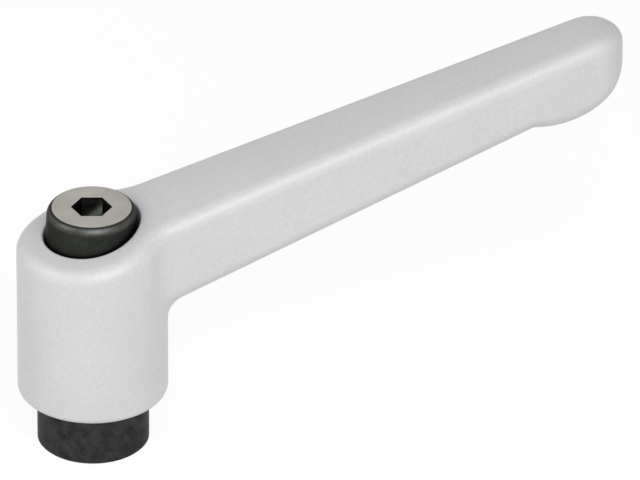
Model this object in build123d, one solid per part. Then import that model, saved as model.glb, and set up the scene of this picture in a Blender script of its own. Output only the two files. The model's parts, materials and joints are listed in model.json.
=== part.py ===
from build123d import *
from math import acos, atan2, cos, hypot, pi, radians, sin, tan
import os

# Adjustable clamping lever: a die-cast lever that a spring holds down on the serration of a threaded insert.
# Millimetres, +Z up along the thread axis, +X along the arm.
# The origin is the centre of the stud thread in the insert's bottom face.

# Threaded insert
insert_diameter = 15.6
insert_body_height = 18.0  # bottom face to the shoulder that the lever rests on
insert_edge_break = 0.25
stud_tap_diameter = 8.5  # tapping size of the M10 stud thread
countersink_diameter = 10.0  # at the face: the stud thread's outer diameter
countersink_angle = 120.0
drill_point_angle = 118.0
core_wall = 1.15  # steel left between the stud hole and the screw's hole

# Serration between the insert and the lever
tooth_count = 24
tooth_root_diameter = 12.2
tooth_tip_diameter = 13.8
tooth_flat = 0.4  # width of a tooth's crest, and of the gap's floor
serration_height = 3.0
tooth_clearance = 0.1
lift_spare = 0.5  # how far the teeth part when the lever is fully lifted

# Retaining screw
screw_thread_diameter = 5.0
screw_thread_length = 5.0
screw_hole_spare = 0.3  # tapped depth left below the screw's end
screw_thread_clearance = 0.05
screw_point_chamfer = 0.5
screw_shoulder_diameter = 7.0
head_diameter = 13.1  # at the head's underside
head_height = 6.2
head_draft = 3.0
head_edge_radius = 1.35
head_edge_sweep = 65.0  # how far the edge rounding turns before the ground face cuts it
socket_across_flats = 5.0
socket_depth = 3.0
socket_angle = -20.0

# Spring
wire_diameter = 0.8
spring_mean_diameter = 10.0
spring_turns = 4.25
spring_reserve = 0.8  # length left above solid when the lever is fully lifted

# Lever: hub
hub_diameter = 21.0
hub_foot_height = 8.0  # how far the insert stands out below the hub
hub_foot_radius = 0.9
insert_clearance = 0.05
bore_edge_break = 0.3
web_gap = 0.3  # between the insert's top and the web
web_thickness = 2.0
web_hole_clearance = 0.2
recess_clearance = 0.2  # round the screw head
recess_edge_radius = 0.3
rim_height = 3.2  # crest of the top face above the head's underside, at the thread axis

# Lever: arm
reach = 78.2  # thread axis to the tip
rise_angle = 13.1
arm_root_width = 13.8  # at the hub's rim
arm_root_depth = 13.7
arm_tip_width = 9.7
grip_length = 14.3  # step under the arm to the tip
grip_start_depth = 10.2
grip_start_angle = -13.5  # slopes of the grip's underside, measured from level
grip_end_angle = 18.0
grip_radius = 13.8
toe_tip_angle = 73.0  # slope of the toe where it reaches the tip
toe_runout_angle = 86.0
step_radius = 0.8
crown_length = 6.3  # how far from the tip the top face starts to round down
crown_radius = 13.9
crown_sweep = 60.0
top_arch_radius = 40.0  # the top face is arched from side to side
top_edge_radius = 2.1
under_edge_radius = 2.5
junction_radius = 4.8

# Heights of the stack along the thread axis
hub_radius = hub_diameter / 2
shoulder_z = insert_body_height
insert_top_z = shoulder_z + serration_height
web_under_z = insert_top_z + web_gap
web_top_z = web_under_z + web_thickness
lift_travel = serration_height + lift_spare
spring_length = lift_travel + spring_turns * wire_diameter + spring_reserve
head_under_z = web_top_z + spring_length
head_top_z = head_under_z + head_height
top_z = head_under_z + rim_height
screw_end_z = insert_top_z - screw_thread_length
screw_hole_floor_z = screw_end_z - screw_hole_spare
countersink_depth = (countersink_diameter - stud_tap_diameter) / 2 / tan(radians(countersink_angle / 2))
stud_point_height = stud_tap_diameter / 2 / tan(radians(drill_point_angle / 2))
stud_hole_depth = screw_hole_floor_z - core_wall - stud_point_height


def top_height_at(x):
    """Height of the crest of the lever's sloping top face at a distance from the thread axis."""
    return top_z + x * tan(radians(rise_angle))


def round_bar(diameter, bottom, top):
    """Cylinder on the thread axis between two heights."""
    upright = (Align.CENTER, Align.CENTER, Align.MIN)
    return Pos(0, 0, bottom) * Cylinder(diameter / 2, top - bottom, align=upright)


def serrated_bar(bottom, top, growth):
    """Toothed bar on the thread axis, its whole outline grown outwards by a clearance."""
    pitch = 2 * pi / tooth_count
    root = tooth_root_diameter / 2 + growth
    tip = tooth_tip_diameter / 2 + growth
    tip_half = (tooth_flat / 2 + growth) / tip
    root_half = pitch / 2 - (tooth_flat / 2 - growth) / root
    outline = []
    for tooth in range(tooth_count):
        middle = tooth * pitch
        for radius, angle in ((root, -root_half), (tip, -tip_half), (tip, tip_half), (root, root_half)):
            outline.append((radius * cos(middle + angle), radius * sin(middle + angle)))
    face = make_face(Polyline(*outline, close=True))
    return Pos(0, 0, bottom) * extrude(face, top - bottom)


def threaded_insert():
    """Turned bushing: body with the stud hole, serration above the shoulder, tapped hole for the screw."""
    body = round_bar(insert_diameter, 0, shoulder_z)
    body = chamfer(body.edges().filter_by(GeomType.CIRCLE), insert_edge_break)
    insert = body + serrated_bar(shoulder_z, insert_top_z, 0)
    tap_radius = stud_tap_diameter / 2
    hole = make_face(
        Polyline(
            (0, 0),
            (countersink_diameter / 2, 0),
            (tap_radius, countersink_depth),
            (tap_radius, stud_hole_depth),
            (0, stud_hole_depth + stud_point_height),
            close=True,
        )
    )
    insert -= revolve(Plane.XZ * hole, Axis.Z)
    insert -= round_bar(screw_thread_diameter + 2 * screw_thread_clearance, screw_hole_floor_z, insert_top_z)
    return insert


def retaining_screw():
    """Shoulder screw: its shoulder stands on the insert, its rounded head is ground flat on top."""
    draft = radians(head_draft)
    sweep = radians(head_edge_sweep)
    edge_centre_z = head_top_z - head_edge_radius * sin(sweep)
    wall_top_z = edge_centre_z + head_edge_radius * sin(draft)
    wall_top_radius = head_diameter / 2 - (wall_top_z - head_under_z) * tan(draft)
    edge_centre_radius = wall_top_radius - head_edge_radius * cos(draft)
    thread_radius = screw_thread_diameter / 2
    shoulder_radius = screw_shoulder_diameter / 2
    rounding = CenterArc(
        (edge_centre_radius, edge_centre_z), head_edge_radius, head_draft, head_edge_sweep - head_draft
    )
    outline = Polyline(
        rounding @ 1,
        (0, head_top_z),
        (0, screw_end_z),
        (thread_radius - screw_point_chamfer, screw_end_z),
        (thread_radius, screw_end_z + screw_point_chamfer),
        (thread_radius, insert_top_z),
        (shoulder_radius, insert_top_z),
        (shoulder_radius, head_under_z),
        (head_diameter / 2, head_under_z),
        rounding @ 0,
    )
    screw = revolve(Plane.XZ * make_face([rounding, outline]), Axis.Z)
    hexagon = RegularPolygon(socket_across_flats / 2, 6, major_radius=False, rotation=socket_angle)
    socket_floor_z = head_top_z - socket_depth
    return screw - Pos(0, 0, socket_floor_z) * extrude(hexagon, socket_depth)


def spring():
    """Compression spring with ground ends, between the lever's web and the screw head."""
    pitch = spring_length / spring_turns
    coil_radius = spring_mean_diameter / 2
    path = Helix(pitch, spring_length, coil_radius)
    wire_section = Plane(origin=path @ 0, z_dir=path % 0) * Circle(wire_diameter / 2)
    coil = Pos(0, 0, web_top_z) * sweep(wire_section, path, is_frenet=True)
    return coil & round_bar(2 * spring_mean_diameter, web_top_z, head_under_z)


def arm_plan():
    """Outline of the arm from above: straight sides that taper to a full round tip."""
    tip_radius = arm_tip_width / 2
    root_half = arm_root_width / 2
    tip_centre = reach - tip_radius
    run = tip_centre - hub_radius
    taper = acos(tip_radius / hypot(root_half, run)) - atan2(run, root_half)
    axis_half = root_half + hub_radius * tan(taper)
    tangent_x = tip_centre + tip_radius * sin(taper)
    tangent_y = tip_radius * cos(taper)
    tip = ThreePointArc((tangent_x, -tangent_y), (reach, 0), (tangent_x, tangent_y))
    sides = Polyline((tangent_x, tangent_y), (0, axis_half), (0, -axis_half), (tangent_x, -tangent_y))
    return make_face([tip, sides])


def arm_side(ceiling):
    """Side outline of the arm: sloping underside, step, finger grip and toe, open upwards to a ceiling."""
    root = (hub_radius, top_height_at(hub_radius) - arm_root_depth)
    grip_start = reach - grip_length
    step = (grip_start, top_height_at(grip_start) - grip_start_depth)
    slope = (step[1] - root[1]) / (step[0] - root[0])
    start = (0, root[1] - hub_radius * slope)
    grip_direction = (cos(radians(grip_start_angle)), sin(radians(grip_start_angle)))
    grip = JernArc(step, grip_direction, grip_radius, grip_end_angle - grip_start_angle)
    toe_rise = sin(radians(toe_tip_angle)) - sin(radians(grip_end_angle))
    toe_radius = (reach - (grip @ 1).X) / toe_rise
    toe = JernArc(grip @ 1, grip % 1, toe_radius, toe_runout_angle - grip_end_angle)
    end_x = (toe @ 1).X
    rest = Polyline(toe @ 1, (end_x, ceiling), (0, ceiling), start, step)
    outline = make_face([grip, toe, rest])
    corner = outline.vertices().sort_by_distance((*step, 0))[0]
    return fillet(corner, step_radius)


def above_top(height):
    """What lies above the lever: an arched section swept up the slope and down round the tip."""
    back_x = -hub_diameter
    crown_x = reach - crown_length
    slope = Line((back_x, top_height_at(back_x)), (crown_x, top_height_at(crown_x)))
    crown = JernArc(slope @ 1, slope % 1, crown_radius, -crown_sweep)
    path = Plane.XZ * Wire([slope, crown])
    half_width = hub_diameter
    drop = top_arch_radius - (top_arch_radius**2 - half_width**2) ** 0.5
    arch = ThreePointArc((-half_width, -drop), (0, 0), (half_width, -drop))
    rest = Polyline((half_width, -drop), (half_width, height), (-half_width, height), (-half_width, -drop))
    section = Plane(origin=path @ 0, x_dir=(0, 1, 0), z_dir=path % 0) * make_face([arch, rest])
    return sweep(section, path)


def side_slab(outline):
    """Solid with the given side outline, wide enough to take in the whole lever."""
    return extrude(Plane.XZ * outline, hub_diameter, both=True)


def lever_casting():
    """Outside of the lever: hub and arm in one, every outer edge rounded."""
    ceiling = top_height_at(reach) + hub_diameter
    arm = extrude(arm_plan(), ceiling) & side_slab(arm_side(ceiling))
    rim = arm.edges().filter_by(Axis.Z, reverse=True).filter_by(Axis.Y, reverse=True)
    arm = fillet(rim.filter_by(lambda edge: edge.center().Z < ceiling - 1), under_edge_radius)
    casting = round_bar(hub_diameter, hub_foot_height, ceiling) + arm
    junction = casting.edges().filter_by(
        lambda edge: abs(hypot(edge.position_at(0.5).X, edge.position_at(0.5).Y) - hub_radius) < 1e-3
        and edge.position_at(0.5).X > 0
        and hub_foot_height + 1 < edge.position_at(0.5).Z < ceiling - 1
    )
    casting = fillet(junction, junction_radius)
    casting -= above_top(ceiling)
    # The slope and the crown look up, and every other face looks sideways or down
    walls, tops = casting.faces().group_by(lambda face: face.normal_at().Z > 0.8)
    wall_edges = walls.edges()
    casting = fillet(tops.edges().filter_by(lambda edge: edge in wall_edges), top_edge_radius)
    foot = casting.edges().group_by(Axis.Z)[0]
    return fillet(foot, hub_foot_radius)


def lever():
    """The casting with its bore, internal serration, web and screw recess."""
    shell = lever_casting()
    recess_diameter = head_diameter + 2 * recess_clearance
    bore_diameter = insert_diameter + 2 * insert_clearance
    shell -= round_bar(recess_diameter, web_top_z, top_height_at(hub_diameter))
    rim = shell.edges().filter_by(
        lambda edge: abs(hypot(edge.position_at(0.5).X, edge.position_at(0.5).Y) - recess_diameter / 2) < 1e-3
        and edge.position_at(0.5).Z > head_under_z
    )
    shell = fillet(rim.filter_by(Axis.Z, reverse=True), recess_edge_radius)
    shell -= round_bar(screw_shoulder_diameter + 2 * web_hole_clearance, web_under_z, web_top_z)
    shell -= serrated_bar(shoulder_z, web_under_z, tooth_clearance)
    shell -= round_bar(bore_diameter, hub_foot_height, shoulder_z)
    mouth = shell.edges().group_by(Axis.Z)[0].sort_by(SortBy.RADIUS)[0]
    return chamfer(mouth, bore_edge_break)


os.makedirs("parts", exist_ok=True)
export_step(threaded_insert(), "parts/threaded_insert.step")
export_step(retaining_screw(), "parts/retaining_screw.step")
export_step(spring(), "parts/spring.step")
export_step(lever(), "parts/lever.step")
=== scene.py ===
import json
import math

import bmesh
import bpy
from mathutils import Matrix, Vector


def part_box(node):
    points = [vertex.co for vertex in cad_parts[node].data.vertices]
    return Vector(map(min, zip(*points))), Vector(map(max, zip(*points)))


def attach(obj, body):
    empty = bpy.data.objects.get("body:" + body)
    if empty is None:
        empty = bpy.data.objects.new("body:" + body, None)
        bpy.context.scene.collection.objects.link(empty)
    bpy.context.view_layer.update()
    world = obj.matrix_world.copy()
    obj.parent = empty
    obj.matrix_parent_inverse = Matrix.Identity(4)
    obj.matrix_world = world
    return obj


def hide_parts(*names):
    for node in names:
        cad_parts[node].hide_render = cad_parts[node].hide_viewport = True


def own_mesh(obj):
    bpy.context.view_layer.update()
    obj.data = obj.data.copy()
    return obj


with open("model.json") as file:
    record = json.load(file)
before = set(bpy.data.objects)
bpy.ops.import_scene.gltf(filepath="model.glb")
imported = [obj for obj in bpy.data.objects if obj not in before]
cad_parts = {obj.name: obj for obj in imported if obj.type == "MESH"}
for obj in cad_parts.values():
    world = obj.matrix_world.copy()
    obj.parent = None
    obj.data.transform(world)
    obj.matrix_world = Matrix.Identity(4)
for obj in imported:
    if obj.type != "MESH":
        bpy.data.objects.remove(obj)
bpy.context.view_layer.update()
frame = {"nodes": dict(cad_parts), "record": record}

MM = 0.001

# Camera: a long lens from the front left, looking down on the lever
camera_azimuth = -19.96
camera_elevation = 31.167
camera_distance = 2.5
camera_reach = 250.0  # far past the floor's edge
view_width = 0.089316  # what the frame takes in at the aim
aim = Vector((0.034537, 0.002449, 0.023299))

# Light: a pale tent all round, weaker overhead, and two softboxes
tent_strength = 1.0
tent_fade_start = 5.0  # degrees above the horizon
key_light = {"azimuth": -11.5, "elevation": 39.5, "distance": 0.42, "size": 0.31, "radiance": 3.65}
side_light = {"azimuth": -90.0, "elevation": 35.0, "distance": 0.25, "size": 0.12, "radiance": 2.95}
side_target = Vector((0, 0, 0.03))  # the hub

# Floor
floor_half_width = 6.0
floor_color = 0.65
floor_glow = 1.235
floor_glow_share = 0.7  # the rest of what the eye sees is the lit floor, with the shadow on it
floor_gap = 0.02 * MM  # keeps it clear of the insert's bottom face

# Where the middle of a noise pattern lies, on its scale from 0 to 1
noise_middle = (0.3, 0.7)

# Powder coat on the lever
coat_colors = ((0.602, 0.603, 0.605), (0.664, 0.664, 0.662))
coat_mottle_size = 0.5 * MM
coat_mottle_range = (0.25, 0.75)
coat_cloud_size = 9 * MM
coat_cloud_share = 0.15  # how far the clouds shift the mottle's colour, either way
coat_peel_size = 0.32 * MM
coat_peel_depth = 0.012 * MM
coat_roughness = (0.31, 0.39)

# Blackened steel of the insert
black_colors = ((0.021, 0.021, 0.022), (0.052, 0.052, 0.053))
black_patch_size = 1.6 * MM
black_grain_size = 0.35 * MM
black_grain_share = 0.6
black_range = (0.55, 1.05)  # of the patches and the grain together
turning_feed = 0.14 * MM
turning_stretch = (0.02, 0.02, 1)  # draws the noise out into rings
turning_depth = 0.003 * MM
black_roughness = (0.40, 0.54)
black_rim_tint = (0.65, 0.65, 0.65, 1)
speck_size = 0.55 * MM
speck_range = (0.82, 0.90)
speck_color = (0.085, 0.085, 0.087)

# Screw: black oxide, a lighter band on the head's rounding that is a painted highlight where the key
# softbox reflects, made to look like oxide rubbed thin, and a bright ground top
oxide_colors = ((0.025, 0.0275, 0.0243), (0.037, 0.0397, 0.0355))
oxide_roughness = (0.34, 0.44)
oxide_rim_tint = (0.5, 0.5, 0.5, 1)
oxide_patch_size = 1.2 * MM
oxide_mark_size = 0.5 * MM
oxide_grain_size = 0.3 * MM
oxide_grain_depth = 0.003 * MM
ground_colors = ((0.37, 0.357, 0.325), (0.47, 0.457, 0.42))
ground_roughness = (0.30, 0.42)
ground_cloud_size = 4 * MM
ground_cloud_share = 0.7  # the rest of the colour's change follows the grinding lines
ground_edge = (0.035 * MM, 0.012 * MM)  # the bare metal fades into the oxide between these depths
ground_edge_wave = 1.5 * MM  # the edge wanders over about this length,
ground_edge_wander = 0.006 * MM  # up and down by this much
# Painted highlight: a lighter ring of oxide on the head's rounding, at the depths where the key softbox
# reflects
rubbed_highlight_color = (0.086, 0.087, 0.084)
rubbed_highlight_share = (0.6, 1.0)  # how strongly the painted highlight band shows, from patch to patch
rubbed_highlight_from = (1.25 * MM, 0.70 * MM)  # the painted highlight band, lighter oxide that looks rubbed thin, begins and ends between these depths
rubbed_highlight_to = (0.12 * MM, 0.35 * MM)
grinding_line = 0.05 * MM
grinding_stretch = 40.0
grinding_depth = 0.002 * MM

# Spring wire
wire_diameter = 0.8 * MM
spring_turns = 4.25
closed_turns = 0.9  # at each end, where the coils touch
wire_sides = 24
wire_steps = 48  # a turn
wire_colors = ((0.40, 0.40, 0.405), (0.50, 0.50, 0.505))
wire_roughness = (0.24, 0.34)
wire_patch_size = 0.8 * MM
wire_grain_size = 0.3 * MM
wire_mark_size = 0.12 * MM
wire_mark_stretch = (0.3, 0.3, 1)
wire_mark_depth = 0.002 * MM

# Threads: metric, 60 degrees, right-handed
stud_thread = {"pitch": 1.5 * MM, "radius": 5.0 * MM}
screw_thread = {"pitch": 0.8 * MM, "radius": 2.5 * MM}
flank_slope = math.tan(math.radians(30.0))
thread_steps = 72  # a turn
thread_overshoot = 0.3 * MM
run_out_turns = 0.75
stud_thread_end = 10.8 * MM  # height in the insert
screw_hole_clearance = 0.05 * MM
screw_hole_thread_depth = 0.3 * MM
screw_hole_thread_length = 4.7 * MM
screw_groove_depth = 0.43 * MM
screw_neck = 0.6 * MM  # plain shank between the thread and the insert's top

crease_angle = math.radians(20.0)
weld_distance = 1e-4 * MM


def direction_to(azimuth, elevation):
    """Unit vector from the object towards a place at that azimuth and elevation, in degrees."""
    a, e = math.radians(azimuth), math.radians(elevation)
    return Vector((math.sin(a) * math.cos(e), -math.cos(a) * math.cos(e), math.sin(e)))


def add_camera():
    """The scene's camera, which looks straight at its aim."""
    data = bpy.data.cameras.new("camera")
    data.lens = data.sensor_width * camera_distance / view_width
    camera = bpy.data.objects.new("camera", data)
    back = direction_to(camera_azimuth, camera_elevation)
    camera.location = aim + back * camera_distance
    camera.rotation_euler = (-back).to_track_quat("-Z", "Y").to_euler()
    data.clip_end = camera_reach
    bpy.context.scene.collection.objects.link(camera)
    bpy.context.scene.camera = camera


def add_softbox(name, target, azimuth, elevation, distance, size, radiance):
    """One square softbox that faces its target."""
    light = bpy.data.lights.new(name, "AREA")
    light.shape = "SQUARE"
    light.size = size
    light.energy = radiance * math.pi * size**2
    box = bpy.data.objects.new(name, light)
    back = direction_to(azimuth, elevation)
    box.location = target + back * distance
    box.rotation_euler = (-back).to_track_quat("-Z", "Y").to_euler()
    box.visible_camera = False
    bpy.context.scene.collection.objects.link(box)


class Tree:
    """Short calls that add and join the nodes of one material or world."""

    def __init__(self, owner):
        owner.use_nodes = True
        self.nodes = owner.node_tree.nodes
        self.links = owner.node_tree.links

    def add(self, kind, inputs=None, **settings):
        """Add a node. An input is a number, a colour or another node's output socket."""
        node = self.nodes.new(kind)
        for name, value in settings.items():
            setattr(node, name, value)
        for name, value in (inputs or {}).items():
            self.feed(node.inputs[name], value)
        return node

    def feed(self, socket, value):
        """Link an output to a socket, or set the socket's own value."""
        if isinstance(value, bpy.types.NodeSocket):
            self.links.new(value, socket)
        else:
            socket.default_value = value

    def math(self, operation, *values, clamp=False):
        """Output of a Math node."""
        node = self.add("ShaderNodeMath", dict(enumerate(values)), operation=operation, use_clamp=clamp)
        return node.outputs[0]

    def seen_directly(self):
        """1 for camera, mirror and glass rays, 0 for rays that only bring light."""
        path = self.add("ShaderNodeLightPath").outputs
        direct = self.math("ADD", path["Is Camera Ray"], path["Is Glossy Ray"])
        return self.math("ADD", direct, path["Is Transmission Ray"], clamp=True)

    def place(self, stretch=(1, 1, 1)):
        """Where a point is on the model at rest, scaled along each axis."""
        where = self.add("ShaderNodeTexCoord").outputs["Object"]
        if stretch == (1, 1, 1):
            return where
        return self.add("ShaderNodeMapping", {"Vector": where, "Scale": stretch}).outputs[0]

    def height(self):
        """Height of a point above the model's origin, at rest."""
        return self.add("ShaderNodeSeparateXYZ", {"Vector": self.place()}).outputs["Z"]

    def noise(self, size, detail=2.0, stretch=(1, 1, 1)):
        """Cloudy pattern with features of about that size, from 0 to 1."""
        inputs = {"Vector": self.place(stretch), "Scale": 1 / size, "Detail": detail}
        return self.add("ShaderNodeTexNoise", inputs).outputs[0]

    def spread(self, value, low, high, to_low=0.0, to_high=1.0):
        """Map a value from one range to another, and hold it at the ends."""
        inputs = {"Value": value, "From Min": low, "From Max": high, "To Min": to_low, "To Max": to_high}
        return self.add("ShaderNodeMapRange", inputs).outputs[0]

    def patches(self, size, to_low=0.0, to_high=1.0, detail=2.0):
        """Noise of about that size whose middle fills the range given."""
        return self.spread(self.noise(size, detail), *noise_middle, to_low, to_high)

    def blend(self, share, low, high):
        """Colour between two colours."""
        mix = self.add("ShaderNodeMix", data_type="RGBA")
        for socket, value in ((mix.inputs["Factor"], share), (mix.inputs[6], low), (mix.inputs[7], high)):
            self.feed(socket, (*value, 1) if isinstance(value, tuple) else value)
        return mix.outputs[2]

    def bump(self, height, depth, below=None):
        """Surface relief of a given depth, on top of another one."""
        inputs = {"Height": height, "Distance": depth, "Strength": 1.0}
        if below is not None:
            inputs["Normal"] = below
        return self.add("ShaderNodeBump", inputs).outputs[0]


def add_world():
    """White to the eye, and as light a tent that fades towards the zenith."""
    world = bpy.data.worlds.new("tent")
    bpy.context.scene.world = world
    tree = Tree(world)
    tree.nodes.clear()
    direction = tree.add("ShaderNodeTexCoord").outputs["Generated"]
    rise = tree.add("ShaderNodeSeparateXYZ", {"Vector": direction}).outputs["Z"]
    fade = tree.add(
        "ShaderNodeMapRange",
        {
            "Value": rise,
            "From Min": math.sin(math.radians(tent_fade_start)),
            "From Max": 1.0,
            "To Min": tent_strength,
            "To Max": 0.0,
        },
        interpolation_type="SMOOTHSTEP",
    ).outputs["Result"]
    light = tree.add("ShaderNodeBackground", {"Color": (1, 1, 1, 1), "Strength": fade}).outputs[0]
    white = tree.add("ShaderNodeBackground", {"Color": (1, 1, 1, 1), "Strength": 1.0}).outputs[0]
    mix = tree.add("ShaderNodeMixShader", {"Fac": tree.seen_directly(), 1: light, 2: white})
    tree.add("ShaderNodeOutputWorld", {"Surface": mix.outputs[0]})


def add_floor():
    """Pale floor at the insert's foot, with the lever's soft shadow on it and clear from below."""
    half, z = floor_half_width, -floor_gap
    mesh = bpy.data.meshes.new("floor")
    corners = [(-half, -half, z), (half, -half, z), (half, half, z), (-half, half, z)]
    mesh.from_pydata(corners, [], [(0, 1, 2, 3)])
    floor = bpy.data.objects.new("floor", mesh)
    bpy.context.scene.collection.objects.link(floor)
    material = bpy.data.materials.new("pale_floor")
    tree = Tree(material)
    tree.nodes.clear()
    paint_color = (floor_color, floor_color, floor_color, 1)
    paint = tree.add("ShaderNodeBsdfDiffuse", {"Color": paint_color}).outputs[0]
    glow = tree.add("ShaderNodeEmission", {"Color": (1, 1, 1, 1), "Strength": floor_glow}).outputs[0]
    share = tree.math("MULTIPLY", tree.seen_directly(), floor_glow_share)
    top = tree.add("ShaderNodeMixShader", {"Fac": share, 1: paint, 2: glow}).outputs[0]
    clear = tree.add("ShaderNodeBsdfTransparent").outputs[0]
    from_below = tree.add("ShaderNodeNewGeometry").outputs["Backfacing"]
    mix = tree.add("ShaderNodeMixShader", {"Fac": from_below, 1: top, 2: clear})
    tree.add("ShaderNodeOutputMaterial", {"Surface": mix.outputs[0]})
    mesh.materials.append(material)


def new_material(name, metallic, color, roughness, normal, **constants):
    """Principled material: patterns for colour, roughness and relief, and plain values for the rest."""
    material = bpy.data.materials.new(name)
    tree = Tree(material)
    shader = tree.nodes["Principled BSDF"]
    shader.inputs["Metallic"].default_value = metallic
    for socket, value in constants.items():
        shader.inputs[socket.replace("_", " ")].default_value = value
    patterns = (("Base Color", color), ("Roughness", roughness), ("Normal", normal))
    for socket, make in patterns:
        tree.feed(shader.inputs[socket], make(tree))
    return material


def silver_coat():
    """Silver powder coat: a faint mottle in slow clouds, over a fine orange-peel skin."""

    def color(tree):
        mottle = tree.spread(tree.noise(coat_mottle_size, detail=3.0), *coat_mottle_range)
        cloud = tree.patches(coat_cloud_size, -coat_cloud_share, coat_cloud_share, detail=1.0)
        return tree.blend(tree.math("ADD", mottle, cloud, clamp=True), *coat_colors)

    def roughness(tree):
        return tree.patches(coat_mottle_size, *coat_roughness)

    def normal(tree):
        return tree.bump(tree.noise(coat_peel_size, detail=1.0), coat_peel_depth)

    return new_material("silver_coat", 0.0, color, roughness, normal)


def blackened_steel():
    """Blackened turned steel: patchy oxide, a few pale specks and the fine rings of the tool."""

    def color(tree):
        patch = tree.noise(black_patch_size, detail=3.0)
        grain = tree.noise(black_grain_size)
        share = tree.spread(tree.math("MULTIPLY_ADD", grain, black_grain_share, patch), *black_range)
        speck = tree.spread(tree.noise(speck_size, detail=0.0), *speck_range)
        return tree.blend(speck, tree.blend(share, *black_colors), speck_color)

    def roughness(tree):
        return tree.patches(black_grain_size, *black_roughness)

    def normal(tree):
        rings = tree.noise(turning_feed, detail=1.0, stretch=turning_stretch)
        grain = tree.noise(black_grain_size)
        return tree.bump(rings, turning_depth, tree.bump(grain, turning_depth))

    return new_material("blackened_steel", 1.0, color, roughness, normal, Specular_Tint=black_rim_tint)


def ground_black_steel():
    """Black oxide, a painted highlight band on the head's rounding that looks like oxide rubbed thin, and
    a bright ground top, told apart by their height.
    """
    flat_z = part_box("retaining_screw")[1].z

    def bare(tree):
        wander = tree.patches(ground_edge_wave, -ground_edge_wander, ground_edge_wander)
        height = tree.math("ADD", tree.height(), wander)
        return tree.spread(height, flat_z - ground_edge[0], flat_z - ground_edge[1])

    # Painted highlight: mask of the lighter ring on the head's rounding, where the key softbox's
    # reflection falls
    def rubbed_highlight(tree):
        below = tree.spread(tree.height(), flat_z - rubbed_highlight_from[0], flat_z - rubbed_highlight_from[1])
        above = tree.spread(tree.height(), flat_z - rubbed_highlight_to[0], flat_z - rubbed_highlight_to[1])
        patches = tree.patches(oxide_patch_size, *rubbed_highlight_share)
        return tree.math("MULTIPLY", tree.math("MULTIPLY", below, above), patches)

    def lines(tree):
        return tree.noise(grinding_line, stretch=(1 / grinding_stretch, 1, 1))

    def color(tree):
        oxide = tree.blend(tree.patches(oxide_patch_size, detail=3.0), *oxide_colors)
        # painted highlight on the head's rounding, blended into the oxide
        oxide = tree.blend(rubbed_highlight(tree), oxide, rubbed_highlight_color)
        streaks = tree.math("MULTIPLY", lines(tree), 1 - ground_cloud_share)
        streaks = tree.math("MULTIPLY_ADD", tree.noise(ground_cloud_size), ground_cloud_share, streaks)
        ground = tree.blend(tree.spread(streaks, *noise_middle), *ground_colors)
        return tree.blend(bare(tree), oxide, ground)

    def roughness(tree):
        oxide = tree.patches(oxide_mark_size, *oxide_roughness)
        ground = tree.spread(lines(tree), *noise_middle, *ground_roughness)
        mix = tree.add("ShaderNodeMix", {"Factor": bare(tree), "A": oxide, "B": ground}, data_type="FLOAT")
        return mix.outputs["Result"]

    def normal(tree):
        grain = tree.bump(tree.noise(oxide_grain_size), oxide_grain_depth)
        return tree.bump(tree.math("MULTIPLY", lines(tree), bare(tree)), grinding_depth, grain)

    return new_material("ground_black_steel", 1.0, color, roughness, normal, Specular_Tint=oxide_rim_tint)


def spring_steel():
    """Drawn wire: bright, with fine marks."""

    def color(tree):
        return tree.blend(tree.patches(wire_patch_size, detail=3.0), *wire_colors)

    def roughness(tree):
        return tree.patches(wire_grain_size, *wire_roughness)

    def normal(tree):
        return tree.bump(tree.noise(wire_mark_size, stretch=wire_mark_stretch), wire_mark_depth)

    return new_material("spring_steel", 1.0, color, roughness, normal)


def finish_node(name, material):
    """Give a CAD node its material."""
    node = frame["nodes"][name]
    node.data.materials.clear()
    node.data.materials.append(material)


def add_piece(name, mesh, body, node, material):
    """Put a modelled mesh in the place of a CAD node."""
    mesh.name = name
    piece = bpy.data.objects.new(name, mesh)
    bpy.context.scene.collection.objects.link(piece)
    mesh.materials.clear()
    mesh.materials.append(material)
    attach(piece, body)
    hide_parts(node)
    return piece


def skin(shape, rings):
    """Close a tube of faces over rings of vertices, with a face at each end."""
    count = len(rings[0])
    for before, after in zip(rings, rings[1:]):
        for i in range(count):
            j = (i + 1) % count
            shape.faces.new((before[i], before[j], after[j], after[i]))
    shape.faces.new(rings[0])
    shape.faces.new(reversed(rings[-1]))
    bmesh.ops.recalc_face_normals(shape, faces=shape.faces)


def finished_mesh(name, shape):
    """Mesh of a shape that is ready."""
    mesh = bpy.data.meshes.new(name)
    shape.to_mesh(mesh)
    shape.free()
    return mesh


def thread_cutter(form, wall_radius, depth, start_z, end_z):
    """Closed helical ridge that cuts one thread, from the air at its start to a run-out at its end.

    A positive depth cuts outwards from a hole's wall, a negative one inwards from a shank.
    """
    outwards = math.copysign(1.0, depth)
    tip_half = form["pitch"] / 16  # a metric thread's flat is an eighth of the pitch
    root_half = tip_half + (abs(depth) + thread_overshoot) * flank_slope
    turns = abs(end_z - start_z) / form["pitch"]
    steps = round(turns * thread_steps)
    cutter = bmesh.new()
    rings = []
    for step in range(steps + 1):
        z = start_z + (end_z - start_z) * step / steps
        angle = 2 * math.pi * (z - start_z) / form["pitch"]
        turns_left = turns * (1 - step / steps)
        retreat = (abs(depth) + thread_overshoot / 2) * max(0.0, 1 - turns_left / run_out_turns)
        tip = wall_radius + depth - outwards * retreat
        root = tip - depth - outwards * thread_overshoot
        corners = ((root, -root_half), (tip, -tip_half), (tip, tip_half), (root, root_half))
        across, along = math.cos(angle), math.sin(angle)
        rings.append([cutter.verts.new((r * across, r * along, z + rise)) for r, rise in corners])
    skin(cutter, rings)
    bmesh.ops.triangulate(cutter, faces=cutter.faces)
    return finished_mesh("cutter", cutter)


def joined_copy(source):
    """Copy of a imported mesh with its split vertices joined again."""
    shape = bmesh.new()
    shape.from_mesh(source)
    bmesh.ops.remove_doubles(shape, verts=shape.verts, dist=weld_distance)
    return finished_mesh("copy", shape)


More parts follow.
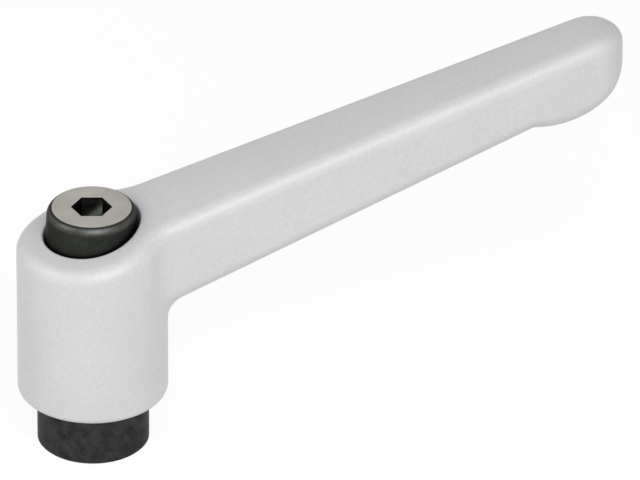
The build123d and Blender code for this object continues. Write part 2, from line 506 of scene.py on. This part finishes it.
def cut_threads(node, cutters):
    """Mesh of a CAD node with threads cut in it."""
    work = bpy.data.objects.new("work", joined_copy(frame["nodes"][node].data))
    bpy.context.scene.collection.objects.link(work)
    helpers = [work]
    for mesh in cutters:
        tool = bpy.data.objects.new("tool", mesh)
        bpy.context.scene.collection.objects.link(tool)
        helpers.append(tool)
        cut = work.modifiers.new("cut", "BOOLEAN")
        cut.operation = "DIFFERENCE"
        cut.solver = "EXACT"
        cut.object = tool
    depsgraph = bpy.context.evaluated_depsgraph_get()
    mesh = bpy.data.meshes.new_from_object(work.evaluated_get(depsgraph))
    for helper in helpers:
        bpy.data.objects.remove(helper)
    mesh.shade_smooth()
    mesh.set_sharp_from_angle(angle=crease_angle)
    return mesh


def threaded_bushing(material):
    """The insert with its two internal threads: the stud's from below and the screw's from above."""
    stud_mount = next(mount for mount in frame["record"]["mounts"] if mount["name"] == "stud_thread")
    tap_radius = stud_mount["dims"]["r_mm"] * MM
    stud_depth = stud_thread["radius"] - tap_radius
    stud_start = -stud_thread["pitch"]
    top_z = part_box("threaded_insert")[1].z
    screw_wall = screw_thread["radius"] + screw_hole_clearance
    screw_start = top_z + screw_thread["pitch"]
    screw_end = top_z - screw_hole_thread_length
    cutters = [
        thread_cutter(stud_thread, tap_radius, stud_depth, stud_start, stud_thread_end),
        thread_cutter(screw_thread, screw_wall, screw_hole_thread_depth, screw_start, screw_end),
    ]
    mesh = cut_threads("threaded_insert", cutters)
    add_piece("threaded_bushing", mesh, "insert", "threaded_insert", material)


def clamp_screw(material):
    """The retaining screw with its thread."""
    start_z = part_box("retaining_screw")[0].z - screw_thread["pitch"]
    end_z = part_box("threaded_insert")[1].z - screw_neck
    cutter = thread_cutter(screw_thread, screw_thread["radius"], -screw_groove_depth, start_z, end_z)
    mesh = cut_threads("retaining_screw", [cutter])
    add_piece("socket_screw", mesh, "insert", "retaining_screw", material)


def coil_rise(turn, free_pitch):
    """Height of the wire's middle above its start after so many turns, with closed coils at both ends."""
    closed = min(turn, closed_turns) + max(0.0, turn - (spring_turns - closed_turns))
    return closed * wire_diameter + (turn - closed) * free_pitch


def coil_spring(material):
    """Compression spring with closed, ground ends."""
    low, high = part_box("spring")
    length = high.z - low.z
    wire_radius = wire_diameter / 2
    coil_radius = (high.x - low.x) / 2 - wire_radius
    open_turns = spring_turns - 2 * closed_turns
    free_pitch = (length - 2 * closed_turns * wire_diameter) / open_turns
    wire = bmesh.new()
    rings = []
    steps = round(spring_turns * wire_steps)
    for step in range(steps + 1):
        turn = spring_turns * step / steps
        angle = 2 * math.pi * turn
        middle_z = low.z + coil_rise(turn, free_pitch)
        ring = []
        for side in range(wire_sides):
            around = 2 * math.pi * side / wire_sides
            r = coil_radius + wire_radius * math.cos(around)
            z = min(max(middle_z + wire_radius * math.sin(around), low.z), high.z)
            ring.append(wire.verts.new((r * math.cos(angle), r * math.sin(angle), z)))
        rings.append(ring)
    skin(wire, rings)
    mesh = finished_mesh("coil_spring", wire)
    mesh.shade_smooth()
    mesh.set_sharp_from_angle(angle=crease_angle)
    piece = add_piece("coil_spring", mesh, "spring", "spring", material)
    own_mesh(piece)


add_camera()
add_softbox("key_softbox", aim, **key_light)
add_softbox("side_softbox", side_target, **side_light)
add_world()
add_floor()
finish_node("lever", silver_coat())
threaded_bushing(blackened_steel())
clamp_screw(ground_black_steel())
coil_spring(spring_steel())

bpy.context.scene.view_settings.view_transform = "Standard"
